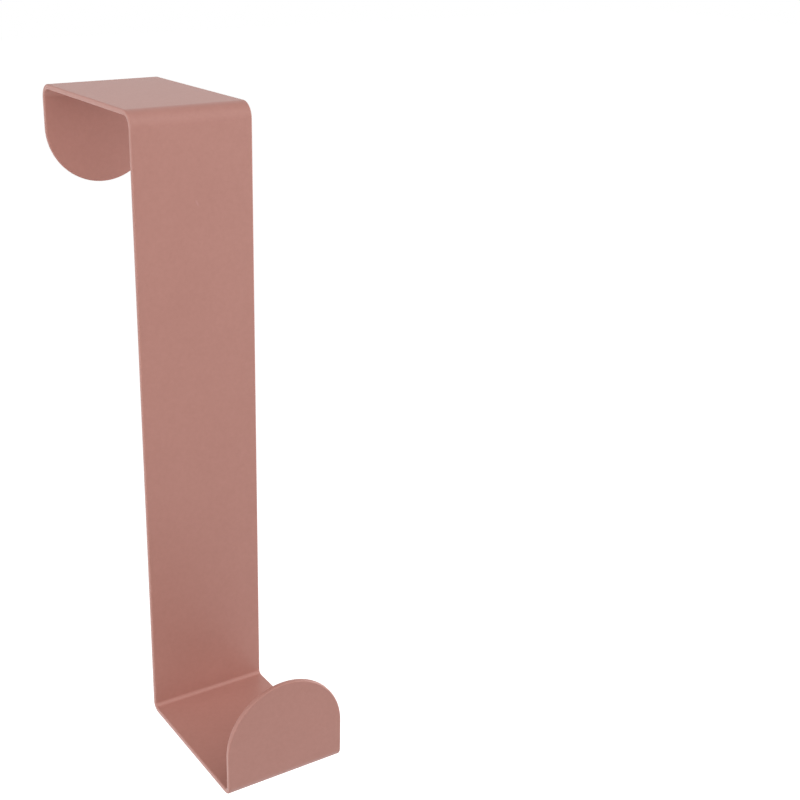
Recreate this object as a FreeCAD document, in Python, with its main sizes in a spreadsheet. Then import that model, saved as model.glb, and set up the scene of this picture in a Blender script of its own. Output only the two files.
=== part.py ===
import FreeCAD, Part
import math
import os
import Sketcher
from FreeCAD import Vector

# Over door hook: one strip of sheet steel with half-round ends, folded square four times.
# From the back lip it runs up behind the door, over its top edge as a saddle, down the room
# side as a long plate, forward as a shelf, and up again as the front lip.
#
# Millimetres. The origin is the middle of the saddle's underside, which sits on the door's
# top edge. +X runs across the strip, -Y is the room side, and +Z is up.

DRIVING_SIZES = (
    ("strip_width", 35.0, "across the strip"),
    ("sheet_thickness", 1.5, "steel and coating together"),
    ("hook_height", 176.0, "from the saddle's top to the shelf's underside"),
    ("door_gap", 61.0, "between the plate and the back lip"),
    ("shelf_gap", 45.5, "between the plate and the front lip"),
    ("back_lip_side", 13.0, "from the saddle's top to where the lip's round end begins"),
    ("front_lip_side", 12.0, "from the shelf's underside to where the lip's round end begins"),
    ("saddle_bend", 3.0, "inside radius of the two bends at the saddle"),
    ("shelf_bend", 1.2, "inside radius of the two bends at the shelf"),
    ("edge_rounding", 0.4, "on both faces of the sheet, all along its rim"),
)

NORMAL = Vector(0, 0, 1)            # of any sketch, in its own axes
START, END, CENTRE = range(1, 4)    # how a constraint numbers the points of a line or an arc
ACROSS_AXIS, UP_AXIS = range(-1, -3, -1)    # how it numbers the axes; the first starts at the origin


def make_sheet(document):
    """The driving dimensions, one row each: name, value and what it measures."""
    sheet = document.addObject("Spreadsheet::Sheet", "Sizes")
    for row, (alias, value, meaning) in enumerate(DRIVING_SIZES, start=1):
        sheet.set(f"A{row}", alias)
        sheet.set(f"B{row}", str(value))
        sheet.setAlias(f"B{row}", alias)
        sheet.set(f"C{row}", meaning)
    document.recompute()


def new_sketch(body, name, plane_role):
    """An empty sketch on one of the body's own origin planes."""
    plane = next(f for f in body.Origin.OriginFeatures if f.Role == plane_role)
    sketch = body.newObject("Sketcher::SketchObject", name)
    sketch.AttachmentSupport = [(plane, "")]
    sketch.MapMode = "FlatFace"
    return sketch


def constrain(sketch, *terms):
    """A constraint that has no size."""
    return sketch.addConstraint(Sketcher.Constraint(*terms))


def dimension(sketch, name, rule, *terms):
    """A named constraint whose size follows the sheet by a rule."""
    sketch.renameConstraint(constrain(sketch, *terms), name)
    sketch.setExpression(f"Constraints.{name}", rule)


def draw_line(sketch, first, last):
    """A line held level or upright, whichever it is drawn as."""
    line = sketch.addGeometry(Part.LineSegment(first, last), False)
    run = last - first
    constrain(sketch, "Horizontal" if abs(run.x) > abs(run.y) else "Vertical", line)
    return line


def draw_side(sketch, corners, radii):
    """One side of the folded strip: straight runs from corner to corner, with every corner
    between them rounded by its radius. Returns the runs and the bends, in order."""
    headings = [(b - a).normalize() for a, b in zip(corners, corners[1:])]
    setbacks = [0.0, *radii, 0.0]      # a square bend touches its runs one radius from the corner
    runs = []
    for i, heading in enumerate(headings):
        first = corners[i] + heading * setbacks[i]
        last = corners[i + 1] - heading * setbacks[i + 1]
        runs.append(draw_line(sketch, first, last))
    bends = []
    for i, radius in enumerate(radii):
        before, after = headings[i], headings[i + 1]
        centre = corners[i + 1] + (after - before) * radius
        # Arcs are drawn anticlockwise, so the arc of a right turn begins where the strip leaves it.
        turns_left = before.cross(after).z > 0
        spoke = -after if turns_left else before
        begin = math.atan2(spoke.y, spoke.x)
        arc = Part.ArcOfCircle(Part.Circle(centre, NORMAL, radius), begin, begin + math.pi / 2)
        bend = sketch.addGeometry(arc, False)
        arriving, leaving = (START, END) if turns_left else (END, START)
        constrain(sketch, "Tangent", runs[i], END, bend, arriving)
        constrain(sketch, "Tangent", bend, leaving, runs[i + 1], START)
        bends.append(bend)
    return runs, bends


def draw_folded_section(body, size):
    """The strip seen along +X, so that the sketch's first axis is the part's Y: two sides, one
    sheet thickness apart, closed by a cap at each end."""
    sketch = new_sketch(body, "FoldedSection", "YZ_Plane")
    sheet, width = size["sheet_thickness"], size["strip_width"]
    saddle_bend, shelf_bend = size["saddle_bend"], size["shelf_bend"]
    half_gap = size["door_gap"] / 2
    plate_front = -half_gap - sheet
    lip_inside = plate_front - size["shelf_gap"]
    shelf_under = sheet - size["hook_height"]
    back_end = sheet - size["back_lip_side"] - width / 2
    front_end = shelf_under + size["front_lip_side"] + width / 2

    # One side is the saddle's top and the shelf's top, and the other is the side against the door.
    top_corners = [
        Vector(half_gap + sheet, back_end), Vector(half_gap + sheet, sheet),
        Vector(plate_front, sheet), Vector(plate_front, shelf_under + sheet),
        Vector(lip_inside, shelf_under + sheet), Vector(lip_inside, front_end)]
    door_corners = [
        Vector(half_gap, back_end), Vector(half_gap, 0),
        Vector(-half_gap, 0), Vector(-half_gap, shelf_under),
        Vector(lip_inside - sheet, shelf_under), Vector(lip_inside - sheet, front_end)]
    top_radii = [saddle_bend + sheet, saddle_bend + sheet, shelf_bend, shelf_bend]
    door_radii = [saddle_bend, saddle_bend, shelf_bend + sheet, shelf_bend + sheet]
    top_runs, top_bends = draw_side(sketch, top_corners, top_radii)
    door_runs, door_bends = draw_side(sketch, door_corners, door_radii)

    for corner, point in ((0, START), (-1, END)):
        cap = draw_line(sketch, top_corners[corner], door_corners[corner])
        constrain(sketch, "Coincident", top_runs[corner], point, cap, START)
        constrain(sketch, "Coincident", cap, END, door_runs[corner], point)
    for top_bend, door_bend in zip(top_bends, door_bends):
        constrain(sketch, "Coincident", top_bend, CENTRE, door_bend, CENTRE)

    back_lip, saddle, plate, _, front_lip = top_runs
    back_inside, saddle_inside, plate_inside, shelf_outside, _ = door_runs
    constrain(sketch, "PointOnObject", saddle_inside, START, ACROSS_AXIS)
    dimension(sketch, "back_saddle_bend", "Sizes.saddle_bend", "Radius", door_bends[0], saddle_bend)
    dimension(sketch, "front_saddle_bend", "Sizes.saddle_bend", "Radius", door_bends[1], saddle_bend)
    dimension(sketch, "back_shelf_bend", "Sizes.shelf_bend", "Radius", top_bends[2], shelf_bend)
    dimension(sketch, "front_shelf_bend", "Sizes.shelf_bend", "Radius", top_bends[3], shelf_bend)
    dimension(sketch, "thickness", "Sizes.sheet_thickness",
              "DistanceY", saddle_inside, START, saddle, START, sheet)
    dimension(sketch, "back_half_gap", "Sizes.door_gap / 2",
              "DistanceX", ACROSS_AXIS, START, back_inside, START, half_gap)
    dimension(sketch, "front_half_gap", "Sizes.door_gap / 2",
              "DistanceX", plate_inside, START, ACROSS_AXIS, START, half_gap)
    dimension(sketch, "shelf_gap", "Sizes.shelf_gap",
              "DistanceX", front_lip, START, plate, START, size["shelf_gap"])
    dimension(sketch, "hook_height", "Sizes.hook_height",
              "DistanceY", shelf_outside, START, saddle, START, size["hook_height"])
    dimension(sketch, "back_lip_height", "Sizes.back_lip_side + Sizes.strip_width / 2",
              "DistanceY", back_lip, START, saddle, START, sheet - back_end)
    dimension(sketch, "front_lip_height", "Sizes.front_lip_side + Sizes.strip_width / 2",
              "DistanceY", shelf_outside, START, front_lip, END, front_end - shelf_under)
    return sketch


def draw_end_waste(body, name, width, centre_depth, depth_rule, pointing):
    """What is cut off around a lip's half-round end, seen from the room: a block with a half
    circle out of it. centre_depth is how far the circle's centre lies below the origin, and
    pointing is 1 for a lip that points up and -1 for one that points down."""
    sketch = new_sketch(body, name, "XZ_Plane")
    radius, margin = width / 2, width / 4
    level = -centre_depth
    beyond = level + pointing * (radius + margin)
    circle = Part.Circle(Vector(0, level), NORMAL, radius)
    begin = 0 if pointing > 0 else math.pi
    arc = sketch.addGeometry(Part.ArcOfCircle(circle, begin, begin + math.pi), False)

    near, far = pointing * radius, pointing * (radius + margin)
    outline = [Vector(near, level), Vector(far, level), Vector(far, beyond),
               Vector(-far, beyond), Vector(-far, level), Vector(-near, level)]
    lines = [draw_line(sketch, a, b) for a, b in zip(outline, outline[1:])]
    for a, b in zip(lines, lines[1:]):
        constrain(sketch, "Coincident", a, END, b, START)
    constrain(sketch, "Coincident", arc, START, lines[0], START)
    constrain(sketch, "Coincident", arc, END, lines[-1], END)
    constrain(sketch, "PointOnObject", arc, CENTRE, UP_AXIS)
    constrain(sketch, "Horizontal", arc, CENTRE, arc, START)
    constrain(sketch, "Horizontal", arc, CENTRE, arc, END)
    constrain(sketch, "Equal", lines[0], lines[-1])
    dimension(sketch, "end_radius", "Sizes.strip_width / 2", "Radius", arc, radius)
    dimension(sketch, "margin", "Sizes.strip_width / 4", "Distance", lines[0], margin)
    dimension(sketch, "block_height", "Sizes.strip_width * 3 / 4",
              "Distance", lines[1], radius + margin)
    dimension(sketch, "centre_depth", depth_rule,
              "DistanceY", arc, CENTRE, ACROSS_AXIS, START, centre_depth)
    return sketch


def cut_end(body, sketch, towards_room):
    """Cut a lip's waste away from the sketch's plane outwards, through that lip only."""
    document = body.Document
    before = body.Tip.Shape.Volume
    pocket = body.newObject("PartDesign::Pocket", sketch.Name + "Cut")
    pocket.Profile = sketch
    pocket.Type = "ThroughAll"
    pocket.Reversed = towards_room
    document.recompute()
    if pocket.Shape.Volume >= before:
        raise ValueError(f"{pocket.Name} removes nothing")
    return pocket


def rim_edges(shape, sheet):
    """The edges along both faces of the sheet, all round its rim. Left out are the straight ones
    across the strip, where a bend begins or ends, and across the sheet, where a round end begins."""
    names = []
    for number, edge in enumerate(shape.Edges, start=1):
        follows_an_arc = isinstance(edge.Curve, Part.Circle)
        across_strip = edge.BoundBox.XLength > sheet
        across_sheet = edge.Length < sheet * 1.01
        if follows_an_arc or not (across_strip or across_sheet):
            names.append(f"Edge{number}")
    return names


def make_hook_strip(document, size):
    """The hook: a folded strip, its two ends cut round, and its rim rounded."""
    body = document.addObject("PartDesign::Body", "HookStrip")
    body.Label = "hook_strip"
    strip = body.newObject("PartDesign::Pad", "Strip")
    strip.Profile = draw_folded_section(body, size)
    strip.SideType = "Symmetric"
    strip.setExpression("Length", "Sizes.strip_width")
    document.recompute()

    # The back lip's waste is cut from the middle of the door gap backwards.
    back_waste = draw_end_waste(
        body, "BackLipEnd", size["strip_width"], size["back_lip_side"] - size["sheet_thickness"],
        "Sizes.back_lip_side - Sizes.sheet_thickness", pointing=-1)
    cut_end(body, back_waste, towards_room=False)

    # The front lip's waste is cut from the middle of the shelf gap forwards.
    foot = size["hook_height"] - size["sheet_thickness"]
    front_waste = draw_end_waste(
        body, "FrontLipEnd", size["strip_width"], foot - size["front_lip_side"],
        "Sizes.hook_height - Sizes.sheet_thickness - Sizes.front_lip_side", pointing=1)
    front_waste.setExpression(
        "AttachmentOffset.Base.z", "Sizes.door_gap / 2 + Sizes.sheet_thickness + Sizes.shelf_gap / 2")
    document.recompute()
    cut = cut_end(body, front_waste, towards_room=True)

    rim = body.newObject("PartDesign::Fillet", "Rim")
    rim.Base = (cut, rim_edges(cut.Shape, size["sheet_thickness"]))
    rim.setExpression("Radius", "Sizes.edge_rounding")
    body.Tip = rim
    body.Placement = FreeCAD.Placement()
    document.recompute()
    return body


def check_document(document, bodies):
    """Stop before anything is written if a feature failed or a shape isn't one valid solid."""
    for item in document.Objects:
        if "Invalid" in item.State or "Error" in item.State:
            raise RuntimeError(f"{item.Label} failed: {item.State}")
        if item.isDerivedFrom("Sketcher::SketchObject") and not item.FullyConstrained:
            raise RuntimeError(f"{item.Label} isn't fully constrained")
    for body in bodies:
        if body.Shape.isNull() or not body.Shape.isValid() or len(body.Shape.Solids) != 1:
            raise RuntimeError(f"{body.Label} isn't one valid solid")


document = FreeCAD.newDocument("OverDoorHook")
make_sheet(document)
size = {alias: value for alias, value, _ in DRIVING_SIZES}
bodies = [make_hook_strip(document, size)]
check_document(document, bodies)
os.makedirs("parts", exist_ok=True)
for body in bodies:
    body.Shape.exportStep(f"parts/{body.Label}.step")
    box = body.Shape.optimalBoundingBox()
    print(f"{body.Label}: {box.XLength:.2f} x {box.YLength:.2f} x {box.ZLength:.2f} mm, "
          f"{body.Shape.Volume:.1f} mm3, {len(body.Shape.Faces)} faces")
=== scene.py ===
import math

import bmesh
import bpy
from mathutils import Matrix, Vector


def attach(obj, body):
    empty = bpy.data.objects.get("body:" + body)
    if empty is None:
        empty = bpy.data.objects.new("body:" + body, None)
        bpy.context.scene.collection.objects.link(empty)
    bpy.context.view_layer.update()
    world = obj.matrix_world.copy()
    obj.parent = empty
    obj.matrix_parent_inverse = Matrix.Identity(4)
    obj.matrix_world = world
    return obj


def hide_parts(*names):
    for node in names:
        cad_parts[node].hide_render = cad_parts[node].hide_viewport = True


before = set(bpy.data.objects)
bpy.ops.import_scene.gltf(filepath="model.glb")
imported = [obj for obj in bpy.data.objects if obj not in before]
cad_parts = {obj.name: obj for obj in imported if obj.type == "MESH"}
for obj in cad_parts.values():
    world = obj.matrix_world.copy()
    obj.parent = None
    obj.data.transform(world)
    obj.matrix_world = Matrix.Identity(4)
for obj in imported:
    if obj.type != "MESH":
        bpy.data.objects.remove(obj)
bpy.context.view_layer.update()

# The hook is one strip of 1.5 mm sheet steel. It is cut with half-round ends, its cut edge is
# tumbled round, and it is folded square four times: back lip, saddle, plate, shelf, front lip.
MM = 0.001
ACROSS, BACK, UP = Vector((1, 0, 0)), Vector((0, 1, 0)), Vector((0, 0, 1))
HALF_WIDTH, SHEET, EDGE_ROUNDING = 17.5 * MM, 1.5 * MM, 0.4 * MM
BACK_LIP_FACE = 30.5 * MM           # its side against the door
LIP_END_BELOW_SADDLE = 11.5 * MM    # where the back lip's round end begins
SADDLE_BEND, SHELF_BEND = 3.0 * MM, 1.2 * MM
EDGE_STEPS, BEND_STEPS, END_STEPS = 5, 12, 32
SAME_POINT = 0.001 * MM
FOLDS = (                           # each run's length, then where the next run turns to
    (8.5 * MM, UP, -BACK, SADDLE_BEND),
    (55.0 * MM, -BACK, -UP, SADDLE_BEND),
    (168.8 * MM, -UP, -BACK, SHELF_BEND),
    (43.1 * MM, -BACK, UP, SHELF_BEND),
)
FRONT_LIP_RUN = 9.3 * MM


def section_of(made):
    """The edges at the far end of what an operator has just drawn, and their points."""
    points = {v for v in made if isinstance(v, bmesh.types.BMVert)}
    edges = [e for e in made if isinstance(e, bmesh.types.BMEdge) and points.issuperset(e.verts)]
    return edges, points


def run_on(strip, edges, heading, length):
    """A straight run of the strip."""
    made = bmesh.ops.extrude_edge_only(strip, edges=edges)["geom"]
    edges, points = section_of(made)
    bmesh.ops.translate(strip, verts=list(points), vec=heading * length)
    return edges


def fold(strip, edges, heading, towards, inside_radius):
    """A square bend about the line that lies inside_radius off the strip's inner face."""
    points = {v for e in edges for v in e.verts}
    inner_face = max(v.co.dot(towards) for v in points)
    level = next(iter(points)).co.dot(heading)
    made = bmesh.ops.spin(
        strip, geom=edges, cent=heading * level + towards * (inner_face + inside_radius),
        axis=heading.cross(towards), angle=math.pi / 2, steps=BEND_STEPS, use_duplicate=False)
    return section_of(made["geom_last"])[0]


def round_end(strip, edges, heading):
    """Half of a lip's half-round end: the section swung about the lip's own middle line."""
    level = edges[0].verts[0].co.dot(heading)
    bmesh.ops.spin(strip, geom=edges, cent=heading * level, axis=ACROSS.cross(heading),
                   angle=math.pi / 2, steps=END_STEPS, use_duplicate=False)


strip = bmesh.new()
section = [strip.verts.new(ACROSS * x + BACK * (BACK_LIP_FACE + y) - UP * LIP_END_BELOW_SADDLE)
           for x, y in ((0, 0), (HALF_WIDTH, 0), (HALF_WIDTH, SHEET), (0, SHEET))]
for first, second in zip(section, section[1:]):
    strip.edges.new((first, second))
bmesh.ops.bevel(strip, geom=section[1:3], offset=EDGE_ROUNDING, offset_type="OFFSET",
                segments=EDGE_STEPS, profile=0.5, affect="VERTICES", material=-1)
edges = list(strip.edges)
round_end(strip, edges, -UP)
for length, heading, towards, inside_radius in FOLDS:
    edges = run_on(strip, edges, heading, length)
    edges = fold(strip, edges, heading, towards, inside_radius)
edges = run_on(strip, edges, UP, FRONT_LIP_RUN)
round_end(strip, edges, UP)
bmesh.ops.mirror(strip, geom=strip.verts[:] + strip.edges[:] + strip.faces[:],
                 matrix=Matrix.Identity(4), merge_dist=SAME_POINT, axis="X")
bmesh.ops.remove_doubles(strip, verts=strip.verts[:], dist=SAME_POINT)
bmesh.ops.recalc_face_normals(strip, faces=strip.faces[:])

hook_mesh = bpy.data.meshes.new("folded_hook")
strip.to_mesh(hook_mesh)
strip.free()
hook_mesh.shade_smooth()
hook = bpy.data.objects.new("folded_hook", hook_mesh)
bpy.context.scene.collection.objects.link(hook)
even_shading = hook.modifiers.new("flat faces stay flat beside the bends", "WEIGHTED_NORMAL")
even_shading.weight = 80


def linear(colour):
    """An sRGB hex colour as linear red, green, blue and alpha."""
    channels = [int(colour[i:i + 2], 16) / 255 for i in (0, 2, 4)]
    return [c / 12.92 if c <= 0.04045 else ((c + 0.055) / 1.055) ** 2.4 for c in channels] + [1.0]


def add(tree, kind, inputs, **settings):
    """A new node with its settings. An input given as another node's output is linked."""
    node = tree.nodes.new(kind)
    for name, value in settings.items():
        setattr(node, name, value)
    for socket, value in inputs.items():
        if isinstance(value, bpy.types.NodeSocket):
            tree.links.new(value, node.inputs[socket])
        else:
            node.inputs[socket].default_value = value
    return node


def new_material(name):
    """A material with nothing in it yet, and its node tree."""
    material = bpy.data.materials.new(name)
    material.use_nodes = True
    material.node_tree.nodes.clear()
    return material, material.node_tree


# Polyester powder coating, sprayed on dry and baked until it flows: a satin skin about 0.07 mm
# thick, dusty pink. Its sheen is soft and even, with a faint orange peel and a finer grain, and
# one pale rub mark shows on it, high on the plate's front.
COAT_COLOUR, COAT_COLOUR_DEEP = "B68277", "A67267"
COAT_ROUGHNESS, ROUGHNESS_DRIFT, COAT_IOR = 0.46, 0.05, 1.5
PEEL_WIDTH, PEEL_HEIGHT = 1.2 * MM, 0.015 * MM
PAINTED_PEEL_SHADE = 0.5                # share of the colour that is painted light and shade of the peel: plain light hardly shows a relief as low as the peel's
GRAIN_WIDTH, GRAIN_HEIGHT = 0.35 * MM, 0.005 * MM   # drawn coarser: the real one is 0.1 mm wide
SHADE_WIDTH = 14 * MM               # of the slow drifts in the coat's thickness
RUB_COLOUR, RUB_CORE = "B4827A", 0.4                # the share of the mark that is fully pale
RUB_MIDDLE, RUB_LEAN = (0.6 * MM, -32 * MM, -23.9 * MM), math.radians(-24)
RUB_HALF_WIDTH, RUB_HALF_LENGTH = 0.35 * MM, 1.2 * MM

coat, tree = new_material("satin_powder_coating")
place = add(tree, "ShaderNodeTexCoord", {}).outputs["Object"]
peel = add(tree, "ShaderNodeTexNoise",
           {"Vector": place, "Scale": 1 / PEEL_WIDTH, "Detail": 2.0, "Roughness": 0.6})
grain = add(tree, "ShaderNodeTexNoise",
            {"Vector": place, "Scale": 1 / GRAIN_WIDTH, "Detail": 2.0, "Roughness": 0.6})
drift = add(tree, "ShaderNodeTexNoise",
            {"Vector": place, "Scale": 1 / SHADE_WIDTH, "Detail": 5.0, "Roughness": 0.8})
# The colour drifts slowly with the coat's thickness, and half of it follows the peel noise: that
# half is painted light and shade of the peel's relief.
thickness_tone_and_peel_shade = add(tree, "ShaderNodeMix",
             {"Factor": PAINTED_PEEL_SHADE, 2: drift.outputs["Fac"], 3: peel.outputs["Fac"]})
colour = add(tree, "ShaderNodeMix",
             {"Factor": thickness_tone_and_peel_shade.outputs[0], 6: linear(COAT_COLOUR), 7: linear(COAT_COLOUR_DEEP)},
             data_type="RGBA")
on_rub = add(tree, "ShaderNodeMapping",
             {"Vector": place, "Location": RUB_MIDDLE, "Rotation": (0, RUB_LEAN, 0),
              "Scale": (RUB_HALF_WIDTH, SHEET, RUB_HALF_LENGTH)}, vector_type="TEXTURE")
off_middle = add(tree, "ShaderNodeVectorMath", {0: on_rub.outputs["Vector"]}, operation="LENGTH")
rub = add(tree, "ShaderNodeMapRange",
          {"Value": off_middle.outputs["Value"], "From Min": RUB_CORE, "From Max": 1.0,
           "To Min": 1.0, "To Max": 0.0})
rubbed = add(tree, "ShaderNodeMix",
             {"Factor": rub.outputs["Result"], 6: colour.outputs[2], 7: linear(RUB_COLOUR)},
             data_type="RGBA")
roughness = add(tree, "ShaderNodeMapRange",
                {"Value": grain.outputs["Fac"], "To Min": COAT_ROUGHNESS - ROUGHNESS_DRIFT,
                 "To Max": COAT_ROUGHNESS + ROUGHNESS_DRIFT})
peel_bump = add(tree, "ShaderNodeBump",
                {"Height": peel.outputs["Fac"], "Distance": PEEL_HEIGHT, "Strength": 1.0})
grain_bump = add(tree, "ShaderNodeBump",
                 {"Height": grain.outputs["Fac"], "Distance": GRAIN_HEIGHT, "Strength": 1.0,
                  "Normal": peel_bump.outputs["Normal"]})
shader = add(tree, "ShaderNodeBsdfPrincipled",
             {"Base Color": rubbed.outputs[2], "Roughness": roughness.outputs["Result"],
              "IOR": COAT_IOR, "Normal": grain_bump.outputs["Normal"]})
add(tree, "ShaderNodeOutputMaterial", {"Surface": shader.outputs["BSDF"]})
hook_mesh.materials.append(coat)
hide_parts("hook_strip")
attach(hook, "root")

# The floor is plain white laminate, far below a hook that hangs near a door's top. It is lit as
# any pale floor is, and the rest of the way up to white is what the camera and gloss see.
FLOOR_LEVEL, FLOOR_SIDE = -0.6, 12.0
FLOOR_COLOUR, FLOOR_GLOW = "F0F0F0", 0.85

floor_shape = bmesh.new()
bmesh.ops.create_grid(floor_shape, x_segments=1, y_segments=1, size=FLOOR_SIDE / 2,
                      matrix=Matrix.Translation((0, 0, FLOOR_LEVEL)))
floor_mesh = bpy.data.meshes.new("floor")
floor_shape.to_mesh(floor_mesh)
floor_shape.free()
floor = bpy.data.objects.new("floor", floor_mesh)
bpy.context.scene.collection.objects.link(floor)


def seen_or_mirrored(tree):
    """1 on rays from the camera, or off or through something glossy, and else 0."""
    path = add(tree, "ShaderNodeLightPath", {}).outputs
    either = add(tree, "ShaderNodeMath",
                 {0: path["Is Camera Ray"], 1: path["Is Glossy Ray"]}, operation="MAXIMUM")
    return add(tree, "ShaderNodeMath",
               {0: either.outputs[0], 1: path["Is Transmission Ray"]},
               operation="MAXIMUM").outputs[0]


laminate, tree = new_material("white_floor_laminate")
laminate.cycles.emission_sampling = "NONE"
lit = add(tree, "ShaderNodeBsdfDiffuse", {"Color": linear(FLOOR_COLOUR)})
glow_strength = add(tree, "ShaderNodeMath", {0: seen_or_mirrored(tree), 1: FLOOR_GLOW},
                    operation="MULTIPLY")
glow = add(tree, "ShaderNodeEmission", {"Strength": glow_strength.outputs[0]})
both = add(tree, "ShaderNodeAddShader", {0: lit.outputs[0], 1: glow.outputs[0]})
add(tree, "ShaderNodeOutputMaterial", {"Surface": both.outputs[0]})
floor_mesh.materials.append(laminate)

# The light is plain and soft: white softboxes on both sides and above, in a dim white room. The
# faint one behind on the right gives the saddle's top its sheen, and the low one lights the back.
ROOM_LEVEL = 0.2
BOX_DISTANCE = 0.6
HOOK_MIDDLE = Vector((0, -0.03, -0.087))
SOFTBOXES = (               # degrees round from the front, degrees up, metres across, watts
    ("left_softbox", -75, 15, 1.0, 4.0),
    ("right_softbox", 75, 5, 0.8, 4.4),
    ("high_softbox", 0, 50, 0.7, 1.5),
    ("back_right_softbox", 150, 20, 0.5, 0.115),
    ("low_back_softbox", 180, -25, 1.0, 1.5),
)

world = bpy.data.worlds.new("white_room")
bpy.context.scene.world = world
world.use_nodes = True
world.cycles.sampling_method = "NONE"       # so that gloss sees the whole white room
tree = world.node_tree
tree.nodes.clear()
strength = add(tree, "ShaderNodeMapRange",
               {"Value": seen_or_mirrored(tree), "To Min": ROOM_LEVEL, "To Max": 1.0})
room = add(tree, "ShaderNodeBackground",
           {"Color": linear("FFFFFF"), "Strength": strength.outputs["Result"]})
add(tree, "ShaderNodeOutputWorld", {"Surface": room.outputs[0]})

for name, turn, rise, width, watts in SOFTBOXES:
    turn, rise = math.radians(turn), math.radians(rise)
    away = Vector((math.sin(turn) * math.cos(rise), -math.cos(turn) * math.cos(rise),
                   math.sin(rise)))
    softbox = bpy.data.lights.new(name, "AREA")
    softbox.shape = "DISK"
    softbox.size = width
    softbox.energy = watts
    stand = bpy.data.objects.new(name, softbox)
    stand.location = HOOK_MIDDLE + away * BOX_DISTANCE
    stand.rotation_euler = away.to_track_quat("Z", "Y").to_euler()
    bpy.context.scene.collection.objects.link(stand)

# The camera stands above and to the left of the hook, at the photograph's viewing angle.
camera_data = bpy.data.cameras.new("camera")
camera_data.lens = 59.357
camera_data.shift_x, camera_data.shift_y = 0.09375, -0.04625
camera_data.clip_start = 0.01
camera = bpy.data.objects.new("camera", camera_data)
camera.location = (-0.1495, -0.34256, 0.05238)
camera.rotation_euler = [math.radians(turn) for turn in (70.586, -0.278, -31.359)]
bpy.context.scene.collection.objects.link(camera)
bpy.context.scene.camera = camera
bpy.context.scene.view_settings.view_transform = "Standard"

bpy.context.view_layer.update()
